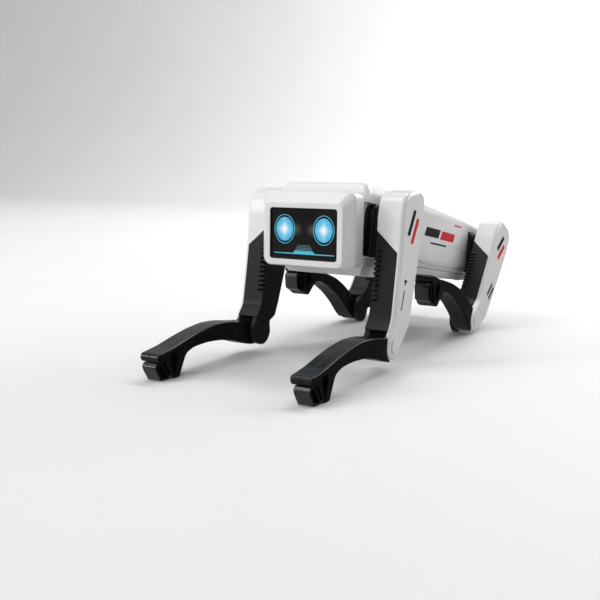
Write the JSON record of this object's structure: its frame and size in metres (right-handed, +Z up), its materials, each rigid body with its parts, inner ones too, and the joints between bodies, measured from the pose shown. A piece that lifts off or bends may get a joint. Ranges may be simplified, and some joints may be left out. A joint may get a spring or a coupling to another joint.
{
  "type": "toy robot dog",
  "caption": "Crouching toy robot dog with a screen face in a boxy head, a tapering trunk and jointed legs with white outer shells, black inner frames and curved shanks.",
  "frame": {"origin": "on the ground, under the middle of the whole dog", "axes": "+Z up, the dog looks along -Y, its left side is +X"},
  "size_m": [0.1286, 0.3672, 0.1263],
  "materials": {
    "white_shell": "satin gloss injection moulding",
    "grey_shell": "matte moulding",
    "dark_shell": "matte moulding",
    "black_shell": "satin gloss moulding",
    "pad": "matte moulding",
    "steel": "turned",
    "screen": "polished smoked lens",
    "light": "lit display",
    "board": "solder mask",
    "cell_wrap": "shrink wrap"
  },
  "bodies": {
    "trunk": {"body_shell": "white_shell", "belly_plate": "grey_shell", "battery_door": "dark_shell", "belly_screws": "steel", "battery_pack": "cell_wrap", "circuit_board": "board", "speaker": "dark_shell", "neck": "dark_shell", "head_rear": "white_shell", "head_bezel": "white_shell", "screen_glass": "screen", "display_board": "board", "eye_lights": "light", "mouth_light": "light", "hip_motor_fl": "black_shell", "hip_motor_fr": "black_shell", "hip_motor_hl": "black_shell", "hip_motor_hr": "black_shell"},
    "switch": {"power_switch": "black_shell"},
    "thigh_fl": {"thigh_shell_fl": "white_shell", "thigh_frame_fl": "black_shell", "hip_shaft_fl": "steel", "knee_pin_fl": "steel", "knee_cap_fl": "white_shell"},
    "shank_fl": {"shank_outer_fl": "black_shell", "shank_inner_fl": "black_shell", "foot_pad_fl": "pad", "shank_screws_fl": "steel"},
    "thigh_fr": {"thigh_shell_fr": "white_shell", "thigh_frame_fr": "black_shell", "hip_shaft_fr": "steel", "knee_pin_fr": "steel", "knee_cap_fr": "white_shell"},
    "shank_fr": {"shank_outer_fr": "black_shell", "shank_inner_fr": "black_shell", "foot_pad_fr": "pad", "shank_screws_fr": "steel"},
    "thigh_hl": {"thigh_shell_hl": "white_shell", "thigh_frame_hl": "black_shell", "hip_shaft_hl": "steel", "knee_pin_hl": "steel", "knee_cap_hl": "white_shell"},
    "shank_hl": {"shank_outer_hl": "black_shell", "shank_inner_hl": "black_shell", "foot_pad_hl": "pad", "shank_screws_hl": "steel"},
    "thigh_hr": {"thigh_shell_hr": "white_shell", "thigh_frame_hr": "black_shell", "hip_shaft_hr": "steel", "knee_pin_hr": "steel", "knee_cap_hr": "white_shell"},
    "shank_hr": {"shank_outer_hr": "black_shell", "shank_inner_hr": "black_shell", "foot_pad_hr": "pad", "shank_screws_hr": "steel"}
  },
  "joints": [
    {"name": "hip_fl", "type": "hinge", "parent": "trunk", "child": "thigh_fl", "pos_m": [0.047, -0.04027, 0.0956], "axis": [1, 0, 0], "range_deg": [-45, 25]},
    {"name": "knee_fl", "type": "hinge", "parent": "thigh_fl", "child": "shank_fl", "pos_m": [0.053, -0.07139, 0.01742], "axis": [1, 0, 0], "range_deg": [-10, 40]},
    {"name": "hip_fr", "type": "hinge", "parent": "trunk", "child": "thigh_fr", "pos_m": [-0.047, -0.04027, 0.0956], "axis": [1, 0, 0], "range_deg": [-45, 25]},
    {"name": "knee_fr", "type": "hinge", "parent": "thigh_fr", "child": "shank_fr", "pos_m": [-0.053, -0.07139, 0.01742], "axis": [1, 0, 0], "range_deg": [-10, 40]},
    {"name": "hip_hl", "type": "hinge", "parent": "trunk", "child": "thigh_hl", "pos_m": [0.047, 0.16069, 0.06553], "axis": [1, 0, 0], "range_deg": [-20, 45]},
    {"name": "knee_hl", "type": "hinge", "parent": "thigh_hl", "child": "shank_hl", "pos_m": [0.053, 0.09585, 0.0119], "axis": [1, 0, 0], "range_deg": [-10, 40]},
    {"name": "hip_hr", "type": "hinge", "parent": "trunk", "child": "thigh_hr", "pos_m": [-0.047, 0.16069, 0.06553], "axis": [1, 0, 0], "range_deg": [-20, 45]},
    {"name": "knee_hr", "type": "hinge", "parent": "thigh_hr", "child": "shank_hr", "pos_m": [-0.053, 0.09585, 0.0119], "axis": [1, 0, 0], "range_deg": [-10, 40]},
    {"name": "switch_slide", "type": "slide", "parent": "trunk", "child": "switch", "axis": [1, 0, 0], "range_m": [0, 0.003]}
  ]
}
